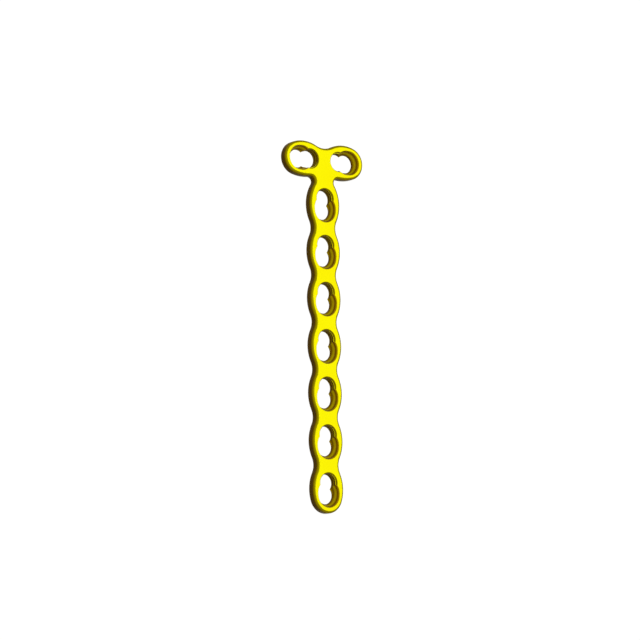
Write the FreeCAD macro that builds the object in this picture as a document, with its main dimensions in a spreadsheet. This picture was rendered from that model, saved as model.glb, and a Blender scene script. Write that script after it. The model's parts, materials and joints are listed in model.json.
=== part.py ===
import FreeCAD, Part

import math
import os
from enum import IntEnum
from types import SimpleNamespace

import Sketcher
from FreeCAD import Placement, Rotation, Vector

# A T-shaped bone plate for 3.5 mm screws, lying on its bone side.
# Origin: on the bone side, where the row of head holes crosses the centreline of the shaft.
# +Y runs along the shaft towards the head, +X across it, +Z out of the bone side.

# Driving dimensions in millimetres (and one count).
DIMENSIONS = {
    # Shaft: a chain of shallow bulges, one round each hole, joined by hollow waists.
    "plate_thickness": 2.5,
    "shaft_holes": 7,
    "hole_pitch": 13.0,
    "width_at_holes": 9.9,
    "width_at_waists": 7.0,
    "bulge_radius": 10.6,
    "tip_centre_drop": 1.88,
    # Head: two round lobes on arms that swing off the shaft.
    "first_hole_distance": 12.34,
    "lobe_spread": 16.6,
    "lobe_radius": 4.57,
    "upper_arm_radius": 9.4,
    "upper_arm_start": 1.62,
    "lower_arm_radius": 12.15,
    "lower_arm_start": 1.3,
    "notch_radius": 5.6,
    "armpit_radius": 1.3,
    # Edges: generous on the outer side, only broken on the bone side.
    "outer_edge_radius": 0.7,
    "bone_edge_break": 0.3,
    # Combination hole: a tapered locking bore, and a ball-cut gliding seat beside it.
    "head_hole_spread": 12.8,
    "locking_offset": 1.7,
    "locking_mouth_radius": 2.62,
    "locking_throat_radius": 2.5,
    "gliding_offset": 1.5,
    "gliding_bore_radius": 2.48,
    "seat_ball_radius": 3.45,
    "track_inner_offset": 1.0,
    "track_outer_offset": 1.6,
    "track_inner_rise": 0.3,
    "track_outer_rise": 0.6,
    "mouth_edge_break": 0.24,
}

OVERSHOOT = 1.0  # how far each cutter runs past the faces of the plate
SIDES = (("right", 1), ("left", -1))
ORIGIN = (-1, 1)  # a sketch's own origin, as (geometry, point)


class Axis(IntEnum):
    """A sketch's own axes, by their geometry numbers."""

    HORIZONTAL = -1
    VERTICAL = -2


class Size:
    """A length that carries its value and the expression that keeps it tied to the sheet."""

    def __init__(self, value, text):
        self.value = value
        self.text = text

    @staticmethod
    def of(other):
        """Wrap a plain number, or return a Size as it is."""
        return other if isinstance(other, Size) else Size(float(other), repr(other))

    def join(self, other, sign, value):
        return Size(value, f"({self.text} {sign} {Size.of(other).text})")

    def __add__(self, other):
        return self.join(other, "+", self.value + Size.of(other).value)

    def __sub__(self, other):
        return self.join(other, "-", self.value - Size.of(other).value)

    def __mul__(self, other):
        return self.join(other, "*", self.value * Size.of(other).value)

    def __truediv__(self, other):
        return self.join(other, "/", self.value / Size.of(other).value)

    def __neg__(self):
        return Size(-self.value, f"(-1 * {self.text})")


dims = SimpleNamespace(**{name: Size(value, f"Sizes.{name}") for name, value in DIMENSIONS.items()})


class Bend:
    """One arc of an outline, walked from begin to finish; hollow arcs turn clockwise."""

    def __init__(self, centre, radius, begin, finish, hollow=False):
        self.centre = centre
        self.radius = radius
        self.begin = begin
        self.finish = finish
        self.hollow = hollow

    def mirrored(self):
        """The same arc on the other side of the centreline, still walked the same way round."""
        centre, begin, finish = (Vector(-p.x, p.y, 0) for p in (self.centre, self.finish, self.begin))
        return Bend(centre, self.radius, begin, finish, self.hollow)


class Drawn:
    """A bend as a sketch holds it: its geometry, and its ends and centre as (geometry, point)."""

    def __init__(self, geometry, hollow):
        first, last = (2, 1) if hollow else (1, 2)
        self.geometry = geometry
        self.begin = (geometry, first)
        self.finish = (geometry, last)
        self.centre = (geometry, 3)

    def ends(self, side):
        """Lower and upper end: an outline is walked up its right side (1) and down its left (-1)."""
        return (self.begin, self.finish) if side > 0 else (self.finish, self.begin)


def build_sheet(doc):
    """Keep every driving dimension in a sheet, one row each."""
    sheet = doc.addObject("Spreadsheet::Sheet", "Sizes")
    for row, (name, value) in enumerate(DIMENSIONS.items(), start=1):
        sheet.set(f"A{row}", name.replace("_", " "))
        sheet.set(f"B{row}", str(value))
        sheet.setAlias(f"B{row}", name)
    doc.recompute()


def add_sketch(body, name, role, along=None, across=None, turned=False):
    """A sketch on one of the body's origin planes, shifted in that plane by along and across."""
    sketch = body.newObject("Sketcher::SketchObject", name)
    plane = next(feature for feature in body.Origin.OriginFeatures if feature.Role == role)
    sketch.AttachmentSupport = [(plane, "")]
    sketch.MapMode = "FlatFace"
    shift = Vector(along.value if along else 0, across.value if across else 0, 0)
    half_turn = Rotation(Vector(0, 1, 0), 180 if turned else 0)
    sketch.AttachmentOffset = Placement(shift, half_turn)
    if along:
        sketch.setExpression("AttachmentOffset.Base.x", along.text)
    if across:
        sketch.setExpression("AttachmentOffset.Base.y", across.text)
    return sketch


def drive(sketch, name, size, kind, *where):
    """Add a dimension to a sketch and bind it to the sheet."""
    index = sketch.addConstraint(Sketcher.Constraint(kind, *where, size.value))
    sketch.renameConstraint(index, name)
    sketch.setExpression(f"Constraints.{name}", size.text)


def drive_aside(sketch, name, size, side, point, base=ORIGIN):
    """Hold a point at a distance to the right (1) or the left (-1) of another."""
    first, second = (base, point) if side > 0 else (point, base)
    drive(sketch, name, size, "DistanceX", *first, *second)


def relate(sketch, kind, *where):
    """Add a geometric constraint to a sketch."""
    sketch.addConstraint(Sketcher.Constraint(kind, *where))


def point_on_circle(centre, radius, towards):
    """The point of a circle that lies in the direction of another point."""
    return centre + (towards - centre).normalize() * radius


def draw_bends(sketch, bends):
    """Draw arcs that run smoothly into one another."""
    drawn = []
    for bend in bends:
        first, last = (bend.finish, bend.begin) if bend.hollow else (bend.begin, bend.finish)
        start = math.atan2(first.y - bend.centre.y, first.x - bend.centre.x)
        end = math.atan2(last.y - bend.centre.y, last.x - bend.centre.x)
        circle = Part.Circle(bend.centre, Vector(0, 0, 1), bend.radius)
        geometry = sketch.addGeometry(Part.ArcOfCircle(circle, start, end), False)
        drawn.append(Drawn(geometry, bend.hollow))
    for here, there in zip(drawn, drawn[1:]):
        relate(sketch, "Tangent", *here.finish, *there.begin)
    return drawn


def close_with_line(sketch, from_end, to_end):
    """Close an outline with a straight line between two drawn ends."""
    line = Part.LineSegment(sketch.getPoint(*from_end), sketch.getPoint(*to_end))
    geometry = sketch.addGeometry(line, False)
    relate(sketch, "Coincident", geometry, 1, *from_end)
    relate(sketch, "Coincident", geometry, 2, *to_end)
    return geometry


def pad_sketch(body, name, sketch):
    """Raise a closed outline to the thickness of the plate."""
    pad = body.newObject("PartDesign::Pad", name)
    pad.Profile = sketch
    pad.setExpression("Length", dims.plate_thickness.text)
    sketch.Visibility = False
    return pad


def waist_radius():
    """Radius of the hollow waist that meets two neighbouring bulges at the waist's width."""
    step = (dims.width_at_holes - dims.width_at_waists) / 2
    half_pitch = dims.hole_pitch / 2
    return (step * step + half_pitch * half_pitch) / (step * 2) - dims.bulge_radius


def bulge_inset():
    """How far the centre of a bulge arc lies beyond the centreline, on the other side."""
    return dims.bulge_radius - dims.width_at_holes / 2


def fix_bulge(sketch, name, bulge, side, drop=None):
    """Hold a bulge at its radius, on its side of the centreline and at its hole's height."""
    drive(sketch, f"{name}_radius", dims.bulge_radius, "Radius", bulge.geometry)
    drive_aside(sketch, f"{name}_inset", bulge_inset(), -side, bulge.centre)
    if drop:
        drive(sketch, f"{name}_drop", drop, "DistanceY", *bulge.centre, *ORIGIN)
    else:
        relate(sketch, "PointOnObject", *bulge.centre, Axis.HORIZONTAL)


def build_head(body):
    """The head, from the first shaft hole up: bulge, armpit, arm, lobe, arm and notch."""
    lobe = Vector(dims.lobe_spread.value / 2, 0, 0)
    lobe_radius = dims.lobe_radius.value
    first_hole = -dims.first_hole_distance.value

    # Where the arms leave the lobe's circle, and the centres of their larger circles.
    lower_x = dims.lower_arm_start.value
    lower_joint = lobe + Vector(lower_x, -math.sqrt(lobe_radius**2 - lower_x**2), 0)
    lower_centre = point_on_circle(lower_joint, dims.lower_arm_radius.value, lobe)
    upper_x = dims.upper_arm_start.value
    upper_joint = lobe + Vector(upper_x, math.sqrt(lobe_radius**2 - upper_x**2), 0)
    upper_centre = point_on_circle(upper_joint, dims.upper_arm_radius.value, lobe)

    # The notch lies on the centreline and touches both upper arms.
    reach = dims.notch_radius.value + dims.upper_arm_radius.value
    notch = Vector(0, upper_centre.y + math.sqrt(reach**2 - upper_centre.x**2), 0)
    notch_end = point_on_circle(notch, dims.notch_radius.value, upper_centre)

    # The armpit touches the bulge of the first hole and the lower arm, both from outside.
    bulge = Vector(-bulge_inset().value, first_hole, 0)
    to_bulge = dims.bulge_radius.value + dims.armpit_radius.value
    to_arm = dims.lower_arm_radius.value + dims.armpit_radius.value
    between = lower_centre - bulge
    apart = between.Length
    forward = (apart**2 + to_bulge**2 - to_arm**2) / (2 * apart)
    aside = math.sqrt(to_bulge**2 - forward**2)
    direction = Vector(between).normalize()
    armpit = bulge + direction * forward + Vector(direction.y, -direction.x, 0) * aside
    armpit_start = point_on_circle(bulge, dims.bulge_radius.value, armpit)
    armpit_end = point_on_circle(lower_centre, dims.lower_arm_radius.value, armpit)

    base = Vector(dims.width_at_holes.value / 2, first_hole, 0)
    right = [
        Bend(bulge, dims.bulge_radius.value, base, armpit_start),
        Bend(armpit, dims.armpit_radius.value, armpit_start, armpit_end, hollow=True),
        Bend(lower_centre, dims.lower_arm_radius.value, armpit_end, lower_joint),
        Bend(lobe, lobe_radius, lower_joint, upper_joint),
        Bend(upper_centre, dims.upper_arm_radius.value, upper_joint, notch_end),
    ]
    flipped = Vector(-notch_end.x, notch_end.y, 0)
    middle = Bend(notch, dims.notch_radius.value, notch_end, flipped, hollow=True)
    left = [bend.mirrored() for bend in reversed(right)]

    sketch = add_sketch(body, "head_outline", "XY_Plane")
    drawn = draw_bends(sketch, right + [middle] + left)
    close_with_line(sketch, drawn[-1].finish, drawn[0].begin)

    drive(sketch, "notch_radius", dims.notch_radius, "Radius", drawn[5].geometry)
    for (name, side), arcs in zip(SIDES, (drawn[:5], drawn[:5:-1])):
        bulge_arc, armpit_arc, lower_arm, lobe_arc, upper_arm = arcs
        fix_bulge(sketch, f"{name}_bulge", bulge_arc, side, dims.first_hole_distance)
        base_point, _ = bulge_arc.ends(side)
        drive(sketch, f"{name}_base", dims.first_hole_distance, "DistanceY", *base_point, *ORIGIN)
        drive(sketch, f"{name}_armpit", dims.armpit_radius, "Radius", armpit_arc.geometry)
        drive(sketch, f"{name}_lower_arm", dims.lower_arm_radius, "Radius", lower_arm.geometry)
        drive(sketch, f"{name}_upper_arm", dims.upper_arm_radius, "Radius", upper_arm.geometry)
        drive(sketch, f"{name}_lobe", dims.lobe_radius, "Radius", lobe_arc.geometry)
        relate(sketch, "PointOnObject", *lobe_arc.centre, Axis.HORIZONTAL)
        drive_aside(sketch, f"{name}_spread", dims.lobe_spread / 2, side, lobe_arc.centre)
        low_joint, high_joint = lobe_arc.ends(side)
        drive_aside(sketch, f"{name}_low_joint", dims.lower_arm_start, side, low_joint, lobe_arc.centre)
        drive_aside(sketch, f"{name}_high_joint", dims.upper_arm_start, side, high_joint, lobe_arc.centre)
    return pad_sketch(body, "head", sketch)


def build_span(body):
    """One pitch of the shaft, from hole to hole, repeated down to the last hole."""
    half_width = dims.width_at_holes.value / 2
    pitch = dims.hole_pitch.value
    upper = Vector(-bulge_inset().value, 0, 0)
    lower = Vector(-bulge_inset().value, -pitch, 0)
    radius = waist_radius()
    waist_place = dims.width_at_waists / 2 + radius
    waist = Vector(waist_place.value, -pitch / 2, 0)
    low_joint = point_on_circle(lower, dims.bulge_radius.value, waist)
    high_joint = point_on_circle(upper, dims.bulge_radius.value, waist)
    right = [
        Bend(lower, dims.bulge_radius.value, Vector(half_width, -pitch, 0), low_joint),
        Bend(waist, radius.value, low_joint, high_joint, hollow=True),
        Bend(upper, dims.bulge_radius.value, high_joint, Vector(half_width, 0, 0)),
    ]

    left = [bend.mirrored() for bend in reversed(right)]

    sketch = add_sketch(body, "span_outline", "XY_Plane", across=-dims.first_hole_distance)
    corners = []
    for (name, side), bends in zip(SIDES, (right, left)):
        low, hollow, high = draw_bends(sketch, bends)[::side]
        fix_bulge(sketch, f"{name}_low", low, side, dims.hole_pitch)
        fix_bulge(sketch, f"{name}_high", high, side)
        drive_aside(sketch, f"{name}_waist", waist_place, side, hollow.centre)
        foot, _ = low.ends(side)
        _, crown = high.ends(side)
        drive(sketch, f"{name}_foot", dims.hole_pitch, "DistanceY", *foot, *ORIGIN)
        relate(sketch, "PointOnObject", *crown, Axis.HORIZONTAL)
        corners.append((foot, crown))
    (right_foot, right_crown), (left_foot, left_crown) = corners
    close_with_line(sketch, right_crown, left_crown)
    close_with_line(sketch, left_foot, right_foot)

    span = pad_sketch(body, "span", sketch)
    body.Document.recompute()
    row = body.newObject("PartDesign::LinearPattern", "shaft")
    row.Originals = [span]
    row.Direction = (sketch, ["V_Axis"])
    row.Reversed = True
    row.setExpression("Length", (dims.hole_pitch * (dims.shaft_holes - 2)).text)
    row.setExpression("Occurrences", (dims.shaft_holes - 1).text)
    body.Tip = row
    return row


def build_tip(body):
    """The rounded free end below the last hole: its arc touches both sides of the last bulge."""
    inset = bulge_inset().value
    drop = dims.tip_centre_drop.value
    bulge = Vector(-inset, 0, 0)
    centre = Vector(0, -drop, 0)
    radius = dims.bulge_radius.value - math.hypot(inset, drop)
    joint = point_on_circle(bulge, dims.bulge_radius.value, centre)
    right = Bend(bulge, dims.bulge_radius.value, joint, Vector(dims.width_at_holes.value / 2, 0, 0))
    left = right.mirrored()
    round_end = Bend(centre, radius, left.finish, joint)

    last_hole = dims.first_hole_distance + dims.hole_pitch * (dims.shaft_holes - 1)
    sketch = add_sketch(body, "tip_outline", "XY_Plane", across=-last_hole)
    left_arc, end_arc, right_arc = draw_bends(sketch, [left, round_end, right])
    close_with_line(sketch, right_arc.finish, left_arc.begin)
    for (name, side), arc in zip(SIDES, (right_arc, left_arc)):
        fix_bulge(sketch, f"{name}_bulge", arc, side)
        _, crown = arc.ends(side)
        relate(sketch, "PointOnObject", *crown, Axis.HORIZONTAL)
    drive(sketch, "tip_centre_drop", dims.tip_centre_drop, "DistanceY", *end_arc.centre, *ORIGIN)
    return pad_sketch(body, "tip", sketch)


def face_at(feature, height):
    """Name of the flat horizontal face of a feature at a height."""
    for index, face in enumerate(feature.Shape.Faces, start=1):
        flat = isinstance(face.Surface, Part.Plane)
        if flat and abs(face.CenterOfMass.z - height) < 1e-6 and face.BoundBox.ZLength < 1e-6:
            return f"Face{index}"
    raise ValueError(f"no flat face at {height} mm")


def round_edges(body, base):
    """Round the rim of the plate on its outer side, and break it on the bone side."""
    body.Document.recompute()
    outer = body.newObject("PartDesign::Fillet", "outer_edge")
    outer.Base = (base, [face_at(base, dims.plate_thickness.value)])
    outer.setExpression("Radius", dims.outer_edge_radius.text)
    body.Document.recompute()
    inner = body.newObject("PartDesign::Chamfer", "bone_edge")
    inner.Base = (outer, [face_at(outer, 0.0)])
    inner.setExpression("Size", dims.bone_edge_break.text)
    return inner


def cut_round(body, name, sketch, axis):
    """Cut away what a profile sweeps in one turn about an axis of its own sketch."""
    groove = body.newObject("PartDesign::Groove", name)
    groove.Profile = sketch
    groove.ReferenceAxis = (sketch, [axis])
    groove.Angle = 360
    sketch.Visibility = False
    return groove


def draw_bore_profile(sketch, corners, side):
    """Half the section of a bore, right (1) or left (-1) of its axis, from (radius, height) corners."""
    points = [Vector(radius.value * side, height.value, 0) for radius, height in corners]
    points = [Vector(0, points[0].y, 0)] + points + [Vector(0, points[-1].y, 0)]
    lines = [Part.LineSegment(a, b) for a, b in zip(points, points[1:] + points[:1])]
    first = sketch.addGeometry(lines, False)[0]
    count = len(lines)
    for step in range(count):
        relate(sketch, "Coincident", first + step, 2, first + (step + 1) % count, 1)
    relate(sketch, "PointOnObject", first, 1, Axis.VERTICAL)
    relate(sketch, "PointOnObject", first + count - 2, 2, Axis.VERTICAL)
    relate(sketch, "Horizontal", first)
    relate(sketch, "Horizontal", first + count - 2)
    for step, (radius, height) in enumerate(corners):
        corner = (first + step, 2)
        drive_aside(sketch, f"radius_{step}", radius, side, corner)
        drive(sketch, f"height_{step}", height, "DistanceY", *ORIGIN, *corner)


def cut_locking_bore(body, name, role, centre, turned):
    """The tapered bore that a locking head screws into, its mouth broken.

    The section lies on the side that the gliding bore takes away, so no seam crosses the wall.
    """
    sketch = add_sketch(body, f"{name}_section", role, along=centre, turned=turned)
    throat = dims.locking_throat_radius
    mouth = dims.locking_mouth_radius
    edge = dims.mouth_edge_break
    top = dims.plate_thickness
    draw_bore_profile(sketch, [
        (throat, -Size.of(OVERSHOOT)),
        (throat, Size.of(0)),
        (mouth, top - edge),
        (mouth + edge + OVERSHOOT, top + OVERSHOOT),
    ], side=-1)
    return cut_round(body, name, sketch, "V_Axis")


def cut_gliding_bore(body, name, role, centre, turned):
    """The plain bore under the gliding seat."""
    sketch = add_sketch(body, f"{name}_section", role, along=centre, turned=turned)
    bore = dims.gliding_bore_radius
    draw_bore_profile(sketch, [
        (bore, -Size.of(OVERSHOOT)),
        (bore, dims.plate_thickness + OVERSHOOT),
    ], side=1)
    return cut_round(body, name, sketch, "V_Axis")


def cut_gliding_seat(body, name, role, centre, turned):
    """The track that a ball cutter leaves, sloping up from the locking bore to the far end.

    Half the track's section, above its sloping centreline, is turned about that line. Above it
    there is no plate, so no seam crosses the seat.
    """
    sketch = add_sketch(body, f"{name}_section", role, along=centre, turned=turned)
    radius = dims.seat_ball_radius.value
    inner_height = dims.plate_thickness + dims.track_inner_rise
    outer_height = dims.plate_thickness + dims.track_outer_rise
    inner = Vector(-dims.track_inner_offset.value, inner_height.value, 0)
    outer = Vector(-dims.track_outer_offset.value, outer_height.value, 0)
    along = (outer - inner).normalize()
    above = Vector(along.y, -along.x, 0)

    inner_arc = Bend(inner, radius, inner - along * radius, inner + above * radius)
    outer_arc = Bend(outer, radius, outer + above * radius, outer + along * radius)
    near, far = (draw_bends(sketch, [bend])[0] for bend in (inner_arc, outer_arc))
    side = sketch.addGeometry(Part.LineSegment(inner_arc.finish, outer_arc.begin), False)
    relate(sketch, "Tangent", *near.finish, side, 1)
    relate(sketch, "Tangent", side, 2, *far.begin)
    spine = close_with_line(sketch, far.finish, near.begin)
    for end, arc, offset, height in (
        ("inner", near, dims.track_inner_offset, inner_height),
        ("outer", far, dims.track_outer_offset, outer_height),
    ):
        drive_aside(sketch, f"{end}_offset", offset, -1, arc.centre)
        drive(sketch, f"{end}_height", height, "DistanceY", *ORIGIN, *arc.centre)
        drive(sketch, f"{end}_radius", dims.seat_ball_radius, "Radius", arc.geometry)
        relate(sketch, "PointOnObject", *arc.centre, spine)
    return cut_round(body, name, sketch, f"Edge{spine + 1}")


def cut_combination_hole(body, name, role, centre, turned):
    """One combination hole. The locking bore lies on the positive side of its sketch plane."""
    sign = -1 if turned else 1
    locking = centre + dims.locking_offset * sign
    gliding = centre - dims.gliding_offset * sign
    return [
        cut_gliding_bore(body, f"{name}_gliding_bore", role, gliding, turned),
        cut_gliding_seat(body, f"{name}_gliding_seat", role, centre, turned),
        cut_locking_bore(body, f"{name}_locking_bore", role, locking, turned),
    ]


def cut_holes(body):
    """Combination holes: a row down the shaft, and a mirrored pair across the head."""
    cuts = cut_combination_hole(body, "shaft_hole", "YZ_Plane", -dims.first_hole_distance, False)
    body.Document.recompute()
    row = body.newObject("PartDesign::LinearPattern", "shaft_holes")
    row.Originals = cuts
    row.Direction = (body.Document.getObject("span_outline"), ["V_Axis"])
    row.Reversed = True
    row.setExpression("Length", (dims.hole_pitch * (dims.shaft_holes - 1)).text)
    row.setExpression("Occurrences", dims.shaft_holes.text)
    body.Tip = row
    body.Document.recompute()

    cuts = cut_combination_hole(body, "head_hole", "XZ_Plane", dims.head_hole_spread / 2, True)
    body.Document.recompute()
    pair = body.newObject("PartDesign::Mirrored", "head_holes")
    pair.Originals = cuts
    pair.MirrorPlane = (body.Document.getObject("head_outline"), ["V_Axis"])
    body.Tip = pair
    return pair


def build_plate(doc):
    """The whole plate, machined from one piece."""
    body = doc.addObject("PartDesign::Body", "bone_plate")
    body.Label = "bone_plate"
    build_head(body)
    build_span(body)
    tip = build_tip(body)
    round_edges(body, tip)
    cut_holes(body)
    return body


def check(doc, bodies):
    """Stop before anything is written if an object failed, a sketch is loose or a solid is unsound."""
    for item in doc.Objects:
        if "Invalid" in item.State or "Error" in item.State:
            raise RuntimeError(f"{item.Label} failed: {item.State}")
        if item.isDerivedFrom("Sketcher::SketchObject") and not item.FullyConstrained:
            raise RuntimeError(f"{item.Label} isn't fully constrained")
    for body in bodies:
        shape = body.Shape
        if shape.isNull() or not shape.isValid() or len(shape.Solids) != 1:
            raise RuntimeError(f"{body.Label} is not one sound solid")


def main():
    doc = FreeCAD.newDocument("bone_plate")
    build_sheet(doc)
    bodies = [build_plate(doc)]
    doc.recompute()
    check(doc, bodies)
    os.makedirs("parts", exist_ok=True)
    for body in bodies:
        body.Shape.exportStep(f"parts/{body.Label}.step")


main()
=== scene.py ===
"""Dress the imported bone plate: its anodised finish, its threads, a pale studio and the camera."""

import json
import logging
import math
from dataclasses import dataclass
from enum import Enum

import bmesh
import bpy
from mathutils import Euler, Matrix, Vector
from mathutils.geometry import intersect_point_line


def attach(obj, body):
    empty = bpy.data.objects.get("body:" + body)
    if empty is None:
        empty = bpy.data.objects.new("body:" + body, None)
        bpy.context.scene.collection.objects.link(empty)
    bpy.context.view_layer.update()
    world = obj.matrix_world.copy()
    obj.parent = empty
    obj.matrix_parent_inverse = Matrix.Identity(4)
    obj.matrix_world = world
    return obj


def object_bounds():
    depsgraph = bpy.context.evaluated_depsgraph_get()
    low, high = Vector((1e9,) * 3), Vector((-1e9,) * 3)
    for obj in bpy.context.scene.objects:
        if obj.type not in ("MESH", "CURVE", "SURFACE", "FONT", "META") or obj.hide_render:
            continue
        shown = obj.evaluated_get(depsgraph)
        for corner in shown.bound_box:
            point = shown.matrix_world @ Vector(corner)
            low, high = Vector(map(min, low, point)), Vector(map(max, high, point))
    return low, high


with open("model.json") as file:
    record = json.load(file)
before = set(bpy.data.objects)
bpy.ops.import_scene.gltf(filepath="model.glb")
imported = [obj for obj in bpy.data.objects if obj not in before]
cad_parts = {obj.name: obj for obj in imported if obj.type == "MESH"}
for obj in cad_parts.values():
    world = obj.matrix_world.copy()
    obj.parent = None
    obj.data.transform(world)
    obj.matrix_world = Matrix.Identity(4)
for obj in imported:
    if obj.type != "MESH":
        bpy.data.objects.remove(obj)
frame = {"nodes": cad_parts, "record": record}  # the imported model, the fixed frame that everything here is fitted to
CAD_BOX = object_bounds()

MM = 0.001  # metres in a millimetre
SHARP_EDGE = math.radians(25)  # faces that meet at more than this are shaded apart

# A Mix node's colour sockets, by number: its sockets for other data have the same names.
MIX_A, MIX_B, MIX_OUT = 6, 7, 2
WAVE_PHASE = 20  # radians that a Wave Texture at a scale of 1 runs through in a metre

log = logging.getLogger("bone_plate")


class Way(Enum):
    """Which way a hole's locking bore lies from its gliding bore, as a turn about +Z."""

    TO_HEAD = 0.0
    TO_LEFT = math.radians(90)
    TO_RIGHT = math.radians(-90)


@dataclass(frozen=True)
class Hole:
    """A combination hole of the plate, placed by its locking bore."""

    name: str
    mouth: Vector  # where the locking bore's axis meets the outer face
    way: Way

    def place(self) -> Matrix:
        """Give the move to the plate's axes from the hole's, whose gliding bore is towards -Y."""
        shift = Matrix.Translation(Vector((self.mouth.x, self.mouth.y, 0)))
        return shift @ Matrix.Rotation(self.way.value, 4, "Z")


@dataclass(frozen=True)
class SeatCutter:
    """The ball cutter that leaves a gliding seat, on its way from the locking bore outwards."""

    radius: float = 3.45 * MM
    start: tuple[float, float, float] = (0.0, -2.7 * MM, 2.8 * MM)  # on the hole's own axes
    end: tuple[float, float, float] = (0.0, -3.3 * MM, 3.1 * MM)


def linear(colour: str) -> tuple[float, float, float, float]:
    """Turn an sRGB hex colour into linear RGBA.

    Args:
        colour: Six hex digits after a hash, such as "#fff4c0".

    Returns:
        Linear red, green, blue and an alpha of 1.
    """
    values = [int(colour[at : at + 2], 16) / 255 for at in (1, 3, 5)]
    red, green, blue = (v / 12.92 if v <= 0.04045 else ((v + 0.055) / 1.055) ** 2.4 for v in values)
    return red, green, blue, 1.0


def add_node(
    tree: bpy.types.NodeTree,
    kind: str,
    settings: dict[str, object] | None = None,
    inputs: dict[str | int, object] | None = None,
) -> bpy.types.Node:
    """Add a node, set its properties, and set or link its inputs.

    Args:
        tree: The node tree to add to.
        kind: The node's type name, such as "ShaderNodeTexNoise".
        settings: The node's own properties, by name.
        inputs: A value, or another node's output socket, for each input by name or number.

    Returns:
        The new node.
    """
    node = tree.nodes.new(kind)
    for name, value in (settings or {}).items():
        setattr(node, name, value)
    for key, value in (inputs or {}).items():
        if isinstance(value, bpy.types.NodeSocket):
            tree.links.new(value, node.inputs[key])
        else:
            node.inputs[key].default_value = value
    return node


def empty_material(name: str) -> bpy.types.Material:
    """Make a node material with nothing in its tree.

    Args:
        name: The material's name.

    Returns:
        The new material.
    """
    material = bpy.data.materials.new(name)
    material.use_nodes = True
    material.node_tree.nodes.clear()
    return material


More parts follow.
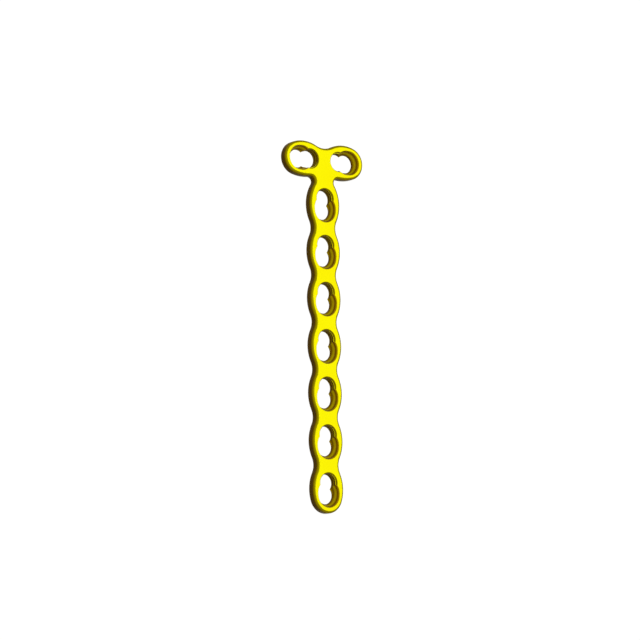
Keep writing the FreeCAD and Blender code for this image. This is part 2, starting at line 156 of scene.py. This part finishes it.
@dataclass(frozen=True)
class AnodisedTitanium:
    """Titanium alloy, milled, blasted with fine beads and anodised gold yellow.

    The oxide film gives a clear lemon yellow on the flat faces. Where the surface turns down into
    an edge, a wall or a bore, painted shade darkens it by its slope, through ochre to bronze.
    The blasting leaves a fine even grain with a soft sheen and no mirror reflection. In the
    ball-cut seats painted highlights lighten the walls, crossed by painted reflection bands of a lighter and a browner
    tone.
    """

    holes: tuple[Hole, ...]
    cutter: SeatCutter
    film: str = "#fffb07"
    film_drifted: str = "#fdef04"
    painted_shade_by_slope: tuple[tuple[float, str], ...] = (  # the upward part of the normal, and the painted shade at that slope
        (0.0, "#684d1e"),
        (0.31, "#745d24"),
        (0.68, "#8b7c3b"),
        (0.91, "#878050"),
        (0.97, "#827c4e"),
        (0.987, "#aca888"),
        (0.997, "#ffffff"),
    )
    seat_painted_light_by_slope: tuple[tuple[float, str], ...] = (  # painted highlights and shade in the seats, by the same slope, from rim to bore
        (0.08, "#ffe8a8"),
        (0.22, "#d2b05c"),
        (0.5, "#aea05a"),
    )
    seat_depth: float = 0.05 * MM  # how far behind the seat's wall its painted light reaches
    painted_band_spacing: float = 1.2 * MM  # from one painted reflection band down the seat to the next
    # painted shade of the darker reflection bands
    painted_band_shade: str = "#9c8064"
    metallic: float = 0.1  # the blasted film scatters most light before the metal mirrors it
    specular_level: float = 0.03  # and so has almost no gloss of its own
    roughness: float = 0.42
    roughness_spread: float = 0.1
    drift_size: float = 9.0 * MM  # patches where the film's thickness drifts a little
    drift_detail: float = 1.0
    grit_size: float = 0.15 * MM  # the real beads leave 0.05 mm pits, too fine to show here
    grit_depth: float = 0.03 * MM
    grit_detail: float = 2.0
    grit_strength: float = 0.6

    def make(self) -> bpy.types.Material:
        """Build the material.

        Returns:
            The material, on Object coordinates.
        """
        material = empty_material("anodised_titanium")
        tree = material.node_tree
        place = add_node(tree, "ShaderNodeTexCoord")
        grit = add_node(
            tree,
            "ShaderNodeTexNoise",
            inputs={
                "Vector": place.outputs["Object"],
                "Scale": 1 / self.grit_size,
                "Detail": self.grit_detail,
            },
        )
        gloss = add_node(
            tree,
            "ShaderNodeMapRange",
            inputs={
                "Value": grit.outputs["Fac"],
                "To Min": self.roughness - self.roughness_spread / 2,
                "To Max": self.roughness + self.roughness_spread / 2,
            },
        )
        bump = add_node(
            tree,
            "ShaderNodeBump",
            inputs={
                "Height": grit.outputs["Fac"],
                "Distance": self.grit_depth,
                "Strength": self.grit_strength,
            },
        )
        surface = add_node(
            tree,
            "ShaderNodeBsdfPrincipled",
            inputs={
                "Base Color": self.colour(tree, place),
                "Metallic": self.metallic,
                "Roughness": gloss.outputs["Result"],
                "Specular IOR Level": self.specular_level,
                "Specular Tint": linear(self.film),
                "Normal": bump.outputs["Normal"],
            },
        )
        add_node(tree, "ShaderNodeOutputMaterial", inputs={"Surface": surface.outputs["BSDF"]})
        return material

    def colour(self, tree: bpy.types.NodeTree, place: bpy.types.Node) -> bpy.types.NodeSocket:
        """Add the nodes of the film's colour: that of a flat face, drifting faintly, times the painted shading.

        Args:
            tree: The material's node tree.
            place: The Texture Coordinate node.

        Returns:
            The socket that carries the colour.
        """
        drift = add_node(
            tree,
            "ShaderNodeTexNoise",
            inputs={
                "Vector": place.outputs["Object"],
                "Scale": 1 / self.drift_size,
                "Detail": self.drift_detail,
            },
        )
        flat = add_node(
            tree,
            "ShaderNodeMix",
            {"data_type": "RGBA"},
            {
                "Factor": drift.outputs["Fac"],
                MIX_A: linear(self.film),
                MIX_B: linear(self.film_drifted),
            },
        )
        # the film's own colour, multiplied by the painted shade and the painted seat light
        film = add_node(
            tree,
            "ShaderNodeMix",
            {"data_type": "RGBA", "blend_type": "MULTIPLY"},
            {"Factor": 1.0, MIX_A: flat.outputs[MIX_OUT], MIX_B: self.painted_shading(tree, place)},
        )
        return film.outputs[MIX_OUT]

    def painted_shading(self, tree: bpy.types.NodeTree, place: bpy.types.Node) -> bpy.types.NodeSocket:
        """Add the nodes of the painted shading: darker where steep, with painted highlights and bands in the seats.

        Args:
            tree: The material's node tree.
            place: The Texture Coordinate node.

        Returns:
            The socket that carries the painted shading.
        """
        facing = add_node(tree, "ShaderNodeSeparateXYZ", inputs={"Vector": place.outputs["Normal"]})
        upward = add_node(
            tree, "ShaderNodeMath", {"operation": "ABSOLUTE"}, {0: facing.outputs["Z"]}
        )
        # painted shade: the steeper the surface, the darker it is drawn, in place of the lamp's falloff
        slope = add_node(tree, "ShaderNodeValToRGB", inputs={"Fac": upward.outputs["Value"]})
        self.fill_ramp(slope.color_ramp, self.painted_shade_by_slope)
        # in the seats, painted highlights by slope, lighter than the painted shade elsewhere
        seat_painted_light = add_node(tree, "ShaderNodeValToRGB", inputs={"Fac": upward.outputs["Value"]})
        self.fill_ramp(seat_painted_light.color_ramp, self.seat_painted_light_by_slope)
        # painted reflection bands: rings by height that lighten and darken the seat
        painted_bands = add_node(
            tree,
            "ShaderNodeTexWave",
            {"wave_type": "BANDS", "bands_direction": "Z", "wave_profile": "SIN"},
            {"Vector": place.outputs["Object"], "Scale": math.tau / WAVE_PHASE / self.painted_band_spacing},
        )
        banded_seat_light = add_node(
            tree,
            "ShaderNodeMix",
            {"data_type": "RGBA", "blend_type": "MULTIPLY"},
            {
                "Factor": painted_bands.outputs["Fac"],
                MIX_A: seat_painted_light.outputs["Color"],
                MIX_B: linear(self.painted_band_shade),
            },
        )
        # the seats take the painted highlights and bands in place of the painted slope shade
        painted_shading = add_node(
            tree,
            "ShaderNodeMix",
            {"data_type": "RGBA"},
            {
                "Factor": self.on_seat(tree, place),
                MIX_A: slope.outputs["Color"],
                MIX_B: banded_seat_light.outputs[MIX_OUT],
            },
        )
        return painted_shading.outputs[MIX_OUT]

    def on_seat(self, tree: bpy.types.NodeTree, place: bpy.types.Node) -> bpy.types.NodeSocket:
        """Add the nodes that tell the gliding seats, where the painted highlights and bands go, from the rest of the
        plate.

        Args:
            tree: The material's node tree.
            place: The Texture Coordinate node.

        Returns:
            A socket that is 1 within reach of the ball cutter, and 0 elsewhere.
        """
        ends = (Vector(self.cutter.start), Vector(self.cutter.end))
        distances = [
            add_node(
                tree,
                "ShaderNodeVectorMath",
                {"operation": "DISTANCE"},
                {0: place.outputs["Object"], 1: hole.place() @ end},
            ).outputs["Value"]
            for hole in self.holes
            for end in ends
        ]
        nearest = distances[0]
        for distance in distances[1:]:
            lower = add_node(
                tree, "ShaderNodeMath", {"operation": "MINIMUM"}, {0: nearest, 1: distance}
            )
            nearest = lower.outputs["Value"]
        reach = self.cutter.radius + self.seat_depth
        inside = add_node(
            tree, "ShaderNodeMath", {"operation": "LESS_THAN"}, {0: nearest, 1: reach}
        )
        return inside.outputs["Value"]

    @staticmethod
    def fill_ramp(ramp: bpy.types.ColorRamp, stops: tuple[tuple[float, str], ...]) -> None:
        """Give the ramp its stops, from an upright wall to a flat face.

        Args:
            ramp: A new ramp, with its two stops.
            stops: The upward part of the normal and the colour of each stop.
        """
        while len(ramp.elements) < len(stops):
            ramp.elements.new(1.0)
        for stop, (upward, colour) in zip(ramp.elements, stops):
            stop.position = upward
            stop.color = linear(colour)


@dataclass(frozen=True)
class StudioBoard:
    """Matt opal board, lit from below, that the plate lies on: pale, even, with no gloss.

    To the camera and to gloss it glows white, and it keeps a faint shadow of the plate. It gives
    back little of the lamp's light, so the plate's walls stay as deep in tone as in the photo.
    """

    opal: str = "#fdfdfc"
    paint: str = "#6e6c66"  # what it gives back of the light that falls on it
    glow: float = 0.93  # brightness of the light that comes through it

    def make(self) -> bpy.types.Material:
        """Build the material.

        Returns:
            The material.
        """
        material = empty_material("studio_board")
        tree = material.node_tree
        board = add_node(tree, "ShaderNodeBsdfDiffuse", inputs={"Color": linear(self.paint)})
        ray = add_node(tree, "ShaderNodeLightPath")
        level = add_node(
            tree,
            "ShaderNodeMath",
            {"operation": "MULTIPLY"},
            {0: direct_view(tree, ray), 1: self.glow},
        )
        light = add_node(
            tree,
            "ShaderNodeEmission",
            inputs={"Color": linear(self.opal), "Strength": level.outputs["Value"]},
        )
        both = add_node(
            tree,
            "ShaderNodeAddShader",
            inputs={0: board.outputs["BSDF"], 1: light.outputs["Emission"]},
        )
        add_node(tree, "ShaderNodeOutputMaterial", inputs={"Surface": both.outputs["Shader"]})
        return material


def direct_view(tree: bpy.types.NodeTree, ray: bpy.types.Node) -> bpy.types.NodeSocket:
    """Add the nodes that tell a view of the background from light that only bounces.

    Args:
        tree: The node tree.
        ray: Its Light Path node.

    Returns:
        A socket that is 1 for camera, glossy and transmission rays, and 0 for all others.
    """
    direct = ray.outputs["Is Camera Ray"]
    for kind in ("Is Glossy Ray", "Is Transmission Ray"):
        either = add_node(
            tree, "ShaderNodeMath", {"operation": "MAXIMUM"}, {0: direct, 1: ray.outputs[kind]}
        )
        direct = either.outputs["Value"]
    return direct


def finished_object(
    name: str, shape: bmesh.types.BMesh, material: bpy.types.Material
) -> bpy.types.Object:
    """Turn a bmesh into an object of the plate, at the origin, unturned and unscaled.

    Args:
        name: The object's name.
        shape: The bmesh, in metres in the frame. It is freed.
        material: What it is made of.

    Returns:
        The object, riding on the plate's body.
    """
    mesh = bpy.data.meshes.new(name)
    shape.to_mesh(mesh)
    shape.free()
    mesh.materials.append(material)
    mesh.shade_smooth()
    mesh.set_sharp_from_angle(angle=SHARP_EDGE)
    piece = bpy.data.objects.new(name, mesh)
    bpy.context.scene.collection.objects.link(piece)
    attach(piece, "root")
    return piece


@dataclass
class LockingThread:
    """The thread ridge of a locking bore: a conical helix, cut off where the gliding seat begins."""

    cutter: SeatCutter
    mouth_radius: float = 2.62 * MM  # of the tapered bore, under its broken mouth
    throat_radius: float = 2.5 * MM  # of the bore at the bone side
    mouth_height: float = 2.26 * MM  # where the broken mouth begins
    thread_foot: float = 0.05 * MM  # the ridge starts this far above the bone side
    thread_top: float = 1.95 * MM  # and ends this high, under the broken mouth
    pitch: float = 1.0 * MM
    ridge_height: float = 0.12 * MM
    ridge_width: float = 0.8 * MM
    crest_width: float = 0.1 * MM
    root_depth: float = 0.05 * MM  # how far the ridge is let into the wall
    steps_per_turn: int = 96
    end_at_bone: float = -1.9 * MM  # where the ridge is cut off along Y, from the bore's axis
    end_at_mouth: float = -0.75 * MM
    gliding_place: float = -3.2 * MM  # axis of the gliding bore, from the locking bore's
    gliding_radius: float = 2.48 * MM
    cover: float = 0.01 * MM  # how far behind a wall the ends of the ridge are hidden
    shortest_edge: float = 0.001 * MM  # what the cuts leave shorter is dissolved

    def build(self, hole: Hole, material: bpy.types.Material) -> bpy.types.Object:
        """Build the ridge in one bore.

        Args:
            hole: Where it goes.
            material: What it is made of.

        Returns:
            The finished object.
        """
        shape = self.wind()
        self.taper(shape)
        self.trim(shape, hole.mouth.z)
        self.clear_seat(shape)
        bmesh.ops.transform(shape, matrix=hole.place(), verts=shape.verts)
        bmesh.ops.recalc_face_normals(shape, faces=shape.faces)
        return finished_object(f"{hole.name}_thread", shape, material)

    def wind(self) -> bmesh.types.BMesh:
        """Wind the ridge's section round the bore as a straight helix.

        Returns:
            A bmesh with the ridge's skin, open at both ends.
        """
        turns = math.ceil(self.mouth_height / self.pitch) + 2  # from below the plate to above it
        base = self.throat_radius + self.root_depth
        crest = self.throat_radius - self.ridge_height
        low = -self.pitch
        section = (
            (base, low - self.ridge_width / 2),
            (crest, low - self.crest_width / 2),
            (crest, low + self.crest_width / 2),
            (base, low + self.ridge_width / 2),
        )
        shape = bmesh.new()
        corners = [shape.verts.new((radius, 0, height)) for radius, height in section]
        edges = [shape.edges.new(pair) for pair in zip(corners, corners[1:] + corners[:1])]
        bmesh.ops.spin(
            shape,
            geom=corners + edges,
            cent=(0, 0, 0),
            axis=(0, 0, 1),
            dvec=(0, 0, self.pitch / self.steps_per_turn),
            angle=math.tau * turns,
            steps=self.steps_per_turn * turns,
            use_merge=False,
        )
        return shape

    def taper(self, shape: bmesh.types.BMesh) -> None:
        """Open the helix upwards to follow the bore's taper.

        Args:
            shape: The straight helix.
        """
        widening = (self.mouth_radius - self.throat_radius) / self.mouth_height
        for vert in shape.verts:
            radius = vert.co.xy.length
            vert.co.xy *= (radius + widening * vert.co.z) / radius

    def trim(self, shape: bmesh.types.BMesh, plate_top: float) -> None:
        """Cut the ridge off at its foot, at its top and towards the gliding seat, and close it.

        Args:
            shape: The tapered helix.
            plate_top: Height of the plate's outer face.
        """
        lean = (self.end_at_mouth - self.end_at_bone) / plate_top
        planes = (
            (Vector((0, 0, self.thread_foot)), Vector((0, 0, -1))),
            (Vector((0, 0, self.thread_top)), Vector((0, 0, 1))),
            (Vector((0, self.end_at_bone, 0)), Vector((0, -1, lean))),
        )
        for point, away in planes:
            geometry = shape.verts[:] + shape.edges[:] + shape.faces[:]
            cut = bmesh.ops.bisect_plane(
                shape, geom=geometry, plane_co=point, plane_no=away.normalized(), clear_outer=True
            )
            edges = [item for item in cut["geom_cut"] if isinstance(item, bmesh.types.BMEdge)]
            bmesh.ops.holes_fill(shape, edges=edges)
        bmesh.ops.dissolve_degenerate(shape, dist=self.shortest_edge, edges=shape.edges)

    def clear_seat(self, shape: bmesh.types.BMesh) -> None:
        """Press what reaches into the gliding seat or its bore back behind their walls.

        Args:
            shape: The trimmed ridge.
        """
        start, end = Vector(self.cutter.start), Vector(self.cutter.end)
        gliding_axis = Vector((0, self.gliding_place))
        for vert in shape.verts:
            _, along = intersect_point_line(vert.co, start, end)
            ball = start.lerp(end, min(max(along, 0.0), 1.0))
            seat = math.sqrt((self.cutter.radius + self.cover) ** 2 - (vert.co.z - ball.z) ** 2)
            press_out(vert, ball.xy, seat)
            press_out(vert, gliding_axis, self.gliding_radius + self.cover)


def press_out(vert: bmesh.types.BMVert, axis: Vector, radius: float) -> None:
    """Move a point level and away from an upright axis, until it is at least a radius off.

    Args:
        vert: The point.
        axis: Where the axis stands, as x and y.
        radius: The least distance.
    """
    off_axis = vert.co.xy - axis
    if off_axis.length < radius:
        vert.co.xy = axis + off_axis.normalized() * radius


@dataclass
class Plate:
    """The plate: the CAD solid in its finish, and the threads in its locking bores."""

    cutter: SeatCutter
    node: str = "bone_plate"

    def build(self) -> None:
        """Dress the solid and build the thread of every hole."""
        holes = self.find_holes()
        material = AnodisedTitanium(holes, self.cutter).make()
        self.dress(material)
        thread = LockingThread(self.cutter)
        for hole in holes:
            piece = thread.build(hole, material)
            log.info("%s: %d faces", piece.name, len(piece.data.polygons))

    def dress(self, material: bpy.types.Material) -> None:
        """Give the CAD solid its finish.

        Args:
            material: The finish.
        """
        solid = frame["nodes"][self.node]
        for slot in solid.material_slots:
            slot.material = material
        log.info("%s: %d faces in %s", self.node, len(solid.data.polygons), material.name)

    @staticmethod
    def find_holes() -> tuple[Hole, ...]:
        """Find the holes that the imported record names.

        Returns:
            The holes, in the record's order.
        """
        holes = []
        for mount in frame["record"]["mounts"]:
            name, mouth = mount["name"], Vector(mount["pos_m"])
            if "hole" not in name:
                continue
            way = Way.TO_HEAD
            if name.startswith("head"):
                way = Way.TO_RIGHT if mouth.x < 0 else Way.TO_LEFT
            holes.append(Hole(name, mouth, way))
        return tuple(holes)


@dataclass
class Studio:
    """Pale floor, an overhead softbox and a faint even fill."""

    board: StudioBoard
    air: str = "#ffffff"
    floor_width: float = 3.0
    floor_drop: float = 0.01 * MM  # just clear of the bone side
    softbox_width: float = 0.35
    softbox_distance: float = 1.0
    softbox_swing: float = math.radians(10)  # towards -X, the side that the camera sees
    softbox_lean: float = math.radians(5)  # towards +Y
    softbox_level: float = 0.95  # brightness of a white face turned to it; its watts follow
    fill_level: float = 0.05

    def build(self, centre: Vector) -> None:
        """Build the floor, the lamp and the world.

        Args:
            centre: Middle of the plate, where the lamp aims.
        """
        self.lay_floor()
        self.hang_softbox(centre)
        self.fill_world()
        log.info("studio built")

    def lay_floor(self) -> None:
        """Lay the floor just under the plate's bone side."""
        shape = bmesh.new()
        bmesh.ops.create_grid(shape, x_segments=1, y_segments=1, size=self.floor_width / 2)
        mesh = bpy.data.meshes.new("floor")
        shape.to_mesh(mesh)
        shape.free()
        mesh.materials.append(self.board.make())
        floor = bpy.data.objects.new("floor", mesh)
        floor.location.z = -self.floor_drop
        bpy.context.scene.collection.objects.link(floor)

    def hang_softbox(self, centre: Vector) -> None:
        """Hang a round soft light over the plate.

        Args:
            centre: Where it aims.
        """
        light = bpy.data.lights.new("softbox", "AREA")
        light.shape = "DISK"
        light.size = self.softbox_width
        light.energy = self.softbox_level * (math.pi * self.softbox_distance) ** 2
        lamp = bpy.data.objects.new("softbox", light)
        turn = Euler((-self.softbox_lean, -self.softbox_swing, 0), "XYZ").to_matrix()
        lamp.location = centre + turn @ Vector((0, 0, self.softbox_distance))
        lamp.rotation_euler = turn.to_euler()
        bpy.context.scene.collection.objects.link(lamp)

    def fill_world(self) -> None:
        """White to the camera and to gloss, and a faint fill to everything else."""
        world = bpy.data.worlds.new("studio_air")
        world.use_nodes = True
        tree = world.node_tree
        tree.nodes.clear()
        ray = add_node(tree, "ShaderNodeLightPath")
        level = add_node(
            tree,
            "ShaderNodeMapRange",
            inputs={"Value": direct_view(tree, ray), "To Min": self.fill_level, "To Max": 1.0},
        )
        sky = add_node(
            tree,
            "ShaderNodeBackground",
            inputs={"Color": linear(self.air), "Strength": level.outputs["Result"]},
        )
        add_node(tree, "ShaderNodeOutputWorld", inputs={"Surface": sky.outputs["Background"]})
        bpy.context.scene.world = world


@dataclass
class PhotoCamera:
    """The photograph's camera: a long lens, high over the left side of the plate."""

    aim: tuple[float, float, float] = (-0.40 * MM, -44.03 * MM, -0.22 * MM)
    distance: float = 660.15 * MM
    lens: float = 136.12  # this and the sensor in millimetres
    sensor: float = 36.0
    swing: float = math.radians(-33.898)  # about +Y, off the plate's left side
    lean: float = math.radians(8.193)  # about +X, towards the tip
    roll: float = math.radians(-0.718)
    nearest: float = 10 * MM  # what the camera sees begins and ends here
    farthest: float = 10.0

    def place(self) -> None:
        """Add the camera and make it the scene's."""
        data = bpy.data.cameras.new("photo_camera")
        data.lens = self.lens
        data.sensor_width = self.sensor
        data.clip_start = self.nearest
        data.clip_end = self.farthest
        camera = bpy.data.objects.new("photo_camera", data)
        turn = Euler((self.lean, self.swing, self.roll), "ZXY").to_matrix()
        camera.location = Vector(self.aim) + turn @ Vector((0, 0, self.distance))
        camera.rotation_mode = "QUATERNION"
        camera.rotation_quaternion = turn.to_quaternion()
        bpy.context.scene.collection.objects.link(camera)
        bpy.context.scene.camera = camera
        log.info("camera at %s", tuple(round(v, 4) for v in camera.location))


def main() -> None:
    """Build everything in order."""
    logging.basicConfig(level=logging.INFO, format="%(name)s: %(message)s")
    bpy.context.scene.view_settings.view_transform = "Standard"
    Plate(cutter=SeatCutter()).build()
    low, high = CAD_BOX
    Studio(board=StudioBoard()).build((low + high) / 2)
    PhotoCamera().place()


if __name__ == "__main__":
    main()
